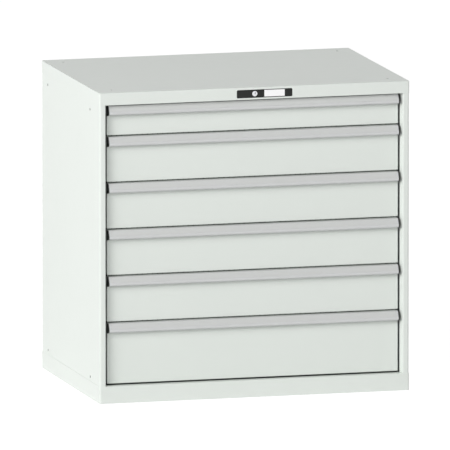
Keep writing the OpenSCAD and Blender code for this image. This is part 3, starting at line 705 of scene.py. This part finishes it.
class CABINET_OT_trays(bpy.types.Operator):
    """Pierces and folds a tray for each drawer, and sets its rails and its catch on it"""

    bl_idname = "cabinet.trays"
    bl_label = "Trays"

    def execute(self, context):
        sizes = context.scene.cabinet_sizes
        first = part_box("drawer_1_tray")
        hardware = self.hardware(sizes, *first)
        for number in DRAWERS:
            node = f"drawer_{number}_tray"
            low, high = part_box(node)
            tray = self.folded(sizes, f"{node}_sheet", low, high)
            complete(tray, f"drawer_{number}", "tray_paint", node)
            drop = (0, 0, low.z - first[0].z)
            fittings = hardware if number == 1 else copied(hardware, f"{node}_rails", drop)
            complete(fittings, f"drawer_{number}", "zinc_steel", node)
        return {"FINISHED"}

    def folded(self, sizes, name, low, high):
        wall, pitch = sizes.tray_wall, sizes.grid
        half = round((-low.x - sizes.rail_depth - wall) / pitch) * pitch
        front, back = low.y + wall, high.y - wall
        floor = low.z + wall
        across, deep = round(2 * half / pitch), round((back - front) / pitch)
        depth, height = back - front, high.z - floor
        middle_y, middle_z = (front + back) / 2, (floor + high.z) / 2
        quarter = math.pi / 2
        panels = [begin(name, "grid", size=1, x_subdivisions=across, y_subdivisions=deep,
                        location=(0, middle_y, floor), stretch=(2 * half, depth, 1))]
        for side in (-1, 1):
            panels.append(begin("side", "grid", size=1, x_subdivisions=1, y_subdivisions=deep,
                                location=(side * half, middle_y, middle_z),
                                rotation=(0, -side * quarter, 0), stretch=(height, depth, 1)))
        for y, turn in ((front, -quarter), (back, quarter)):
            panels.append(begin("end", "grid", size=1, x_subdivisions=across, y_subdivisions=1,
                                location=(0, y, middle_z), rotation=(turn, 0, 0),
                                stretch=(2 * half, height, 1)))
        tray = joined(name, *panels)
        on_floor, on_top = on_plane(2, floor), on_plane(2, high.z)
        with editing(tray, "VERT"):
            weld()
        with editing(tray, "FACE"):
            pick("faces", on_floor)
            bpy.ops.mesh.inset(thickness=(pitch - sizes.hole) / 2, use_individual=True)
            bpy.ops.mesh.delete(type="FACE")
            pick("faces", lambda face: not on_floor(face))
            bpy.ops.mesh.inset(thickness=(pitch - sizes.slot) / 2, use_individual=True)
            bpy.ops.mesh.delete(type="FACE")
        with editing(tray, "EDGE"):
            pick("edges", lambda edge: on_top(edge) and not on_plane(1, front)(edge))
            pull(0, 0, 0)
            reach = sizes.hem + wall
            bpy.ops.transform.resize(value=(1 + reach / half, 1 + reach / depth, 1),
                                     center_override=(0, front, high.z))
            pull(0, 0, -sizes.hem_drop)
        modify(tray, "SOLIDIFY", thickness=wall, offset=-1, use_even_offset=True)
        return tray

    def hardware(self, sizes, low, high):
        """Rails and catch of the first drawer."""
        wall_x = low.x + sizes.rail_depth
        start = Vector((0, low.y + sizes.rail_start, low.z + sizes.rail_lift))
        end = Vector((0, high.y - sizes.rail_end, start.z + sizes.rail_height))
        rail = channel("rail", wall_x, low.x, start, end, sizes.rail_wall)
        foot = Vector((-wall_x, low.y + sizes.catch_start, low.z + sizes.catch_lift))
        catch = begin_box("catch", foot, foot + Vector((
            high.x + wall_x, sizes.catch_wall, sizes.catch_height
        )))
        flange = begin_box("flange", foot, foot + Vector((
            sizes.catch_wall / 2, sizes.catch_flange, sizes.catch_height
        )))
        ease(catch, sizes.sheet_edge, MM)
        ease(flange, sizes.sheet_edge, MM)
        return joined("drawer_1_tray_rails", rail, copied(rail, "rail_right", mirror=0), catch, flange)


class GripSection:
    """Where the corners of the grip strip's section lie, from a strip's upper back edge."""

    def __init__(self, sizes):
        reach = GRIP_HIGH.y - GRIP_LOW.y
        self.nose_r = sizes.grip_nose
        self.nose = Vector((reach - self.nose_r, -sizes.grip_drop))
        self.top = Vector((sizes.grip_top, 0))
        way = self.nose - self.top
        heading = math.atan2(way.y, way.x) + math.asin(self.nose_r / way.length)
        self.direction = Vector((math.cos(heading), math.sin(heading)))
        self.normal = Vector((-self.direction.y, self.direction.x))
        self.slope = math.sqrt(way.length_squared - self.nose_r ** 2)
        self.nose_start = heading + math.pi / 2

    def on_slope(self, along_it, depth=0):
        return self.top + self.direction * along_it - self.normal * depth


def placed(spot, back_edge):
    """A point of the section, forwards and up, as Y and Z beside a strip's upper back edge."""
    return back_edge.y - spot.x, back_edge.z + spot.y


class CABINET_OT_grips(bpy.types.Operator):
    """Bends the grip strip round its nose, sinks its label groove and copies it to each drawer"""

    bl_idname = "cabinet.grips"
    bl_label = "Grip strips"

    def execute(self, context):
        sizes = context.scene.cabinet_sizes
        section = GripSection(sizes)
        edge = GRIP_HIGH
        width = GRIP_HIGH.x - GRIP_LOW.x
        grip = begin("drawer_1_grip_strip", "plane", size=1,
                     location=(0, edge.y - sizes.grip_top / 2, edge.z), stretch=(width, sizes.grip_top, 1))
        end = section.on_slope(section.slope)
        with editing(grip, "EDGE"):
            pick("edges", on_plane(1, edge.y - sizes.grip_top))
            pull(0, -(end.x - section.top.x), end.y - section.top.y)
            nose_y, nose_z = placed(section.nose, edge)
            bpy.ops.mesh.spin(steps=14, angle=-(section.nose_start - sizes.grip_lip),
                              center=(0, nose_y, nose_z), axis=(1, 0, 0))
            pick("edges", on_plane(1, edge.y))
            pull(0, 0, -sizes.grip_flange)
        with editing(grip, "VERT"):
            weld()
        modify(grip, "SOLIDIFY", thickness=sizes.grip_wall, offset=-1, use_even_offset=True)
        outward = Vector((0, -section.normal.x, section.normal.y))
        with editing(grip, "FACE"):
            pick("faces", lambda face: face.normal.dot(outward) > 0.999
                 and face.calc_area() > width * section.slope * 0.9)
            bpy.ops.mesh.inset(thickness=sizes.groove_border, depth=0)
            pull(*(-outward * sizes.groove))
        soften(grip, sizes.grip_edge)
        for number in DRAWERS:
            node = f"drawer_{number}_grip"
            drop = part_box(node)[1].z - edge.z
            strip = grip if number == 1 else copied(grip, f"{node}_strip", (0, 0, drop))
            complete(strip, f"drawer_{number}", "grip_aluminium", node)
        return {"FINISHED"}


class CABINET_OT_caps(bpy.types.Operator):
    """Hulls a wedge round the nose for the grip strips' end caps and copies it to every end"""

    bl_idname = "cabinet.caps"
    bl_label = "End caps"

    def execute(self, context):
        sizes = context.scene.cabinet_sizes
        section = GripSection(sizes)
        low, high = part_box("drawer_1_caps")
        inner = GRIP_HIGH.x
        nose_y, nose_z = placed(section.nose, high)
        cap = begin("cap", "cylinder", vertices=48, radius=sizes.grip_nose, depth=high.x - inner,
                    location=((inner + high.x) / 2, nose_y, nose_z), rotation=(0, math.pi / 2, 0))
        thin = 0.2 * MM
        with editing(cap):
            bpy.ops.mesh.primitive_cube_add(**box_between(
                (inner, high.y - sizes.grip_top, high.z - thin), (high.x, high.y, high.z)
            ))
            bpy.ops.mesh.primitive_cube_add(**box_between(
                (inner, high.y - thin, low.z), (high.x, high.y, low.z + thin)
            ))
            bpy.ops.mesh.select_all(action="SELECT")
            bpy.ops.mesh.convex_hull()
        with editing(cap):
            pick("faces", on_plane(0, high.x))
            bpy.ops.mesh.dissolve_faces()
            bpy.ops.mesh.inset(thickness=sizes.cap_border, depth=0)
            pull(-sizes.cap_sink, 0, 0)
        soften(cap, sizes.cap_edge, limit=50)
        pair = joined("drawer_1_caps_pair", cap, copied(cap, "cap_left", mirror=0))
        for number in DRAWERS:
            node = f"drawer_{number}_caps"
            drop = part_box(node)[1].z - high.z
            caps = pair if number == 1 else copied(pair, f"{node}_pair", (0, 0, drop))
            complete(caps, f"drawer_{number}", "black_plastic", node)
        return {"FINISHED"}


class CABINET_OT_labels(bpy.types.Operator):
    """Lays the label strip into the groove of each grip strip"""

    bl_idname = "cabinet.labels"
    bl_label = "Label strips"

    def execute(self, context):
        sizes = context.scene.cabinet_sizes
        section = GripSection(sizes)
        low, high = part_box("drawer_1_label")
        height = section.slope - 2 * sizes.groove_border - sizes.label_play
        spot = section.on_slope(section.slope / 2, sizes.groove - sizes.label_wall / 2)
        middle_y, middle_z = placed(spot, GRIP_HIGH)
        lean = math.atan2(-section.direction.y, section.direction.x)
        strip = begin("drawer_1_label_paper", "cube", size=1, location=(0, middle_y, middle_z),
                      scale=(high.x - low.x, height, sizes.label_wall), rotation=(lean, 0, 0))
        soften(strip, sizes.label_edge)
        for number in DRAWERS:
            node = f"drawer_{number}_label"
            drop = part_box(node)[1].z - high.z
            label = strip if number == 1 else copied(strip, f"{node}_paper", (0, 0, drop))
            complete(label, f"drawer_{number}", "label_strip", node)
        return {"FINISHED"}


# ------------------------------------------------------------------ lock


def rod(name, radius, spot, length, vertices=64):
    """A round bar that runs backwards from a spot."""
    return begin(name, "cylinder", radius=radius, depth=length, vertices=vertices,
                 location=spot + Vector((0, length / 2, 0)), rotation=(math.pi / 2, 0, 0))


def cut(piece, cutter):
    """Takes the cutter out of the piece."""
    modify(piece, "BOOLEAN", object=cutter, operation="DIFFERENCE", solver="EXACT")


class CABINET_OT_lock(bpy.types.Operator):
    """Rounds the lock plate, bores it for the core, cuts the key slot and lays the card on"""

    bl_idname = "cabinet.lock"
    bl_label = "Lock"

    def execute(self, context):
        sizes = context.scene.cabinet_sizes
        complete(self.plate(sizes), "housing", "black_plastic", "lock_plate")
        complete(self.core(sizes), "lock_key_core", "lock_chrome", "lock_core")
        low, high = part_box("lock_card")
        card = begin_box("lock_card_paper", low, high)
        with editing(card, "EDGE"):
            pick("edges", along(1))
            bpy.ops.mesh.bevel(offset=sizes.card_corner, segments=3, profile=0.5)
        ease(card, sizes.card_edge)
        complete(card, "housing", "card", "lock_card")
        return {"FINISHED"}

    def plate(self, sizes):
        low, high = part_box("lock_plate")
        mouth = Vector((0, low.y, (low.z + high.z) / 2))
        rim = sizes.plate_rim
        face = begin_box("lock_plate_face", (low.x + rim, low.y, low.z + rim),
                         (high.x - rim, low.y + sizes.plate_wall, high.z - rim))
        back = begin_box("rim", (low.x, low.y + sizes.plate_wall / 4, low.z),
                         (high.x, low.y + sizes.plate_wall, high.z))
        for sheet in (face, back):
            with editing(sheet, "EDGE"):
                pick("edges", along(1))
                bpy.ops.mesh.bevel(offset=sizes.plate_corner, segments=8, profile=0.5)
        soften(face, sizes.plate_edge)
        sleeve = rod("sleeve", sizes.sleeve, mouth + Vector((0, sizes.plate_wall / 2, 0)),
                     high.y - low.y - sizes.plate_wall / 2)
        bore = rod("bore", sizes.core + sizes.core_play, mouth - Vector((0, 5 * MM, 0)), 50 * MM)
        for piece in (face, back, sleeve):
            cut(piece, bore)
        bpy.data.objects.remove(bore)
        return joined("lock_plate_moulding", face, back, sleeve)

    def core(self, sizes):
        low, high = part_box("lock_core")
        spot = Vector((0, low.y, (low.z + high.z) / 2))
        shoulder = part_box("lock_plate")[1].y - low.y
        core = rod("lock_core_barrel", sizes.core, spot, shoulder)
        with editing(core, "FACE"):
            pick("faces", on_plane(1, low.y))
            bpy.ops.mesh.inset(thickness=sizes.core_border, depth=0)
            pull(0, sizes.core_play, 0)
        soften(core, sizes.core_edge)
        half = Vector((sizes.key_slot / 2, 0, sizes.key_height / 2))
        middle = spot + Vector((half.x, 0, half.z / 2))
        key = begin_box("key", middle - half - Vector((0, MM, 0)),
                        middle + half + Vector((0, sizes.key_depth, 0)))
        cut(core, key)
        bpy.data.objects.remove(key)
        back = spot + Vector((0, shoulder, 0))
        spindle = rod("spindle", sizes.spindle, back, high.y - back.y, vertices=32)
        return joined("lock_core_barrel", core, spindle)


# ------------------------------------------------------------------ studio


class CABINET_OT_studio(bpy.types.Operator):
    """Lays the floor and sets the light and the camera"""

    bl_idname = "cabinet.studio"
    bl_label = "Studio"

    def execute(self, context):
        studio = context.scene.cabinet_studio
        self.lay_floor(context.scene.cabinet_colours.floor, studio)
        self.light_world(context.scene, studio)
        self.hang_key(studio)
        self.set_camera(context.scene, studio)
        context.scene.view_settings.view_transform = "Standard"
        return {"FINISHED"}

    def lay_floor(self, base, studio):
        floor = begin("floor", "grid", x_subdivisions=8, y_subdivisions=8, size=studio.floor_size,
                      location=(0, 0, -0.5 * MM))
        finish = Finish("floor", base, 0.9)
        finish.set("Base Color", toned(finish, finish.noise(3), base, 0.99, 1))
        glow = finish.add("Emission", inputs={"Color": (1, 1, 1, 1), "Strength": studio.floor_glow})
        pale = finish.add("BsdfDiffuse", inputs={"Color": (*[studio.floor_shade] * 3, 1)})
        shown = finish.add("AddShader", inputs=[glow, pale])
        seen = Wire(finish, seen_directly(finish.tree))
        both = finish.add("MixShader", inputs=[seen, Wire(finish, finish.shader.outputs[0]), shown])
        finish.tree.links.new(both.socket, finish.tree.nodes["Material Output"].inputs[0])
        floor.data.materials.append(finish.material)

    def light_world(self, scene, studio):
        """Light from all round that fades from eye level upwards. It is white where it is seen."""
        world = bpy.data.worlds.new("studio")
        world.use_nodes = True
        scene.world = world
        tree = world.node_tree
        background = tree.nodes["Background"]
        background.inputs["Color"].default_value = (1, 1, 1, 1)
        way = tree.nodes.new("ShaderNodeTexCoord")
        parts = tree.nodes.new("ShaderNodeSeparateXYZ")
        tree.links.new(way.outputs["Generated"], parts.inputs[0])
        tent = tree.nodes.new("ShaderNodeMapRange")
        tent.inputs["To Min"].default_value = studio.level_light
        tent.inputs["To Max"].default_value = studio.high_light
        tree.links.new(parts.outputs["Z"], tent.inputs["Value"])
        level = tree.nodes.new("ShaderNodeMapRange")
        tree.links.new(tent.outputs[0], level.inputs["To Min"])
        level.inputs["To Max"].default_value = 1
        tree.links.new(seen_directly(tree), level.inputs["Value"])
        tree.links.new(level.outputs[0], background.inputs["Strength"])

    def hang_key(self, studio):
        towards = out_from(studio.key_azimuth, studio.key_elevation)
        lamp = bpy.data.lights.new("key", "AREA")
        lamp.shape = "DISK"
        lamp.size = studio.key_width
        lamp.energy = studio.key * (math.pi * studio.key_distance) ** 2
        holder = bpy.data.objects.new("key", lamp)
        bpy.context.scene.collection.objects.link(holder)
        holder.location = MIDDLE + towards * studio.key_distance
        holder.rotation_euler = towards.to_track_quat("Z", "Y").to_euler()
        holder.visible_glossy = False

    def set_camera(self, scene, studio):
        back = out_from(studio.azimuth, studio.elevation)
        lens = bpy.data.cameras.new("camera")
        lens.lens = studio.lens
        lens.sensor_width = 36
        lens.clip_start = 1
        lens.clip_end = 120
        camera = bpy.data.objects.new("camera", lens)
        scene.collection.objects.link(camera)
        camera.location = MIDDLE + back * studio.distance - Vector((0, 0, studio.aim_drop))
        camera.rotation_euler = back.to_track_quat("Z", "Y").to_euler()
        scene.camera = camera


def out_from(azimuth, elevation):
    """The direction out from the cabinet at that turn from straight ahead and that height."""
    return Vector((math.sin(azimuth) * math.cos(elevation), -math.cos(azimuth) * math.cos(elevation),
                   math.sin(elevation)))


def seen_directly(tree):
    """A socket that is 1 for rays from the camera, from a mirror or through glass, otherwise 0."""
    light = tree.nodes.new("ShaderNodeLightPath")
    most = light.outputs["Is Camera Ray"]
    for name in ("Is Glossy Ray", "Is Transmission Ray"):
        node = tree.nodes.new("ShaderNodeMath")
        node.operation = "MAXIMUM"
        tree.links.new(most, node.inputs[0])
        tree.links.new(light.outputs[name], node.inputs[1])
        most = node.outputs[0]
    return most


# ------------------------------------------------------------------ add-on


class CABINET_PT_sidebar(bpy.types.Panel):
    """Lists the pieces of the cabinet and their settings"""

    bl_label = "Drawer cabinet"
    bl_space_type = "VIEW_3D"
    bl_region_type = "UI"
    bl_category = "Cabinet"

    def draw(self, context):
        for operator in OPERATORS:
            self.layout.operator(operator.bl_idname)
        for settings in ("cabinet_colours", "cabinet_sizes", "cabinet_studio"):
            group = getattr(context.scene, settings)
            column = self.layout.column()
            for name in group.__annotations__:
                column.prop(group, name)


OPERATORS = (
    CABINET_OT_coat,
    CABINET_OT_housing,
    CABINET_OT_uprights,
    CABINET_OT_runners,
    CABINET_OT_fronts,
    CABINET_OT_trays,
    CABINET_OT_grips,
    CABINET_OT_caps,
    CABINET_OT_labels,
    CABINET_OT_lock,
    CABINET_OT_studio,
)
GROUPS = {
    "cabinet_colours": CabinetColours,
    "cabinet_sizes": CabinetSizes,
    "cabinet_studio": CabinetStudio,
}


def register():
    for group in GROUPS.values():
        bpy.utils.register_class(group)
    for name, group in GROUPS.items():
        setattr(bpy.types.Scene, name, PointerProperty(type=group))
    for operator in OPERATORS:
        bpy.utils.register_class(operator)
    bpy.utils.register_class(CABINET_PT_sidebar)


def unregister():
    bpy.utils.unregister_class(CABINET_PT_sidebar)
    for operator in reversed(OPERATORS):
        bpy.utils.unregister_class(operator)
    for name, group in GROUPS.items():
        delattr(bpy.types.Scene, name)
        bpy.utils.unregister_class(group)


def main():
    register()
    for operator in OPERATORS:
        category, name = operator.bl_idname.split(".")
        getattr(getattr(bpy.ops, category), name)()


if __name__ == "__main__":
    main()
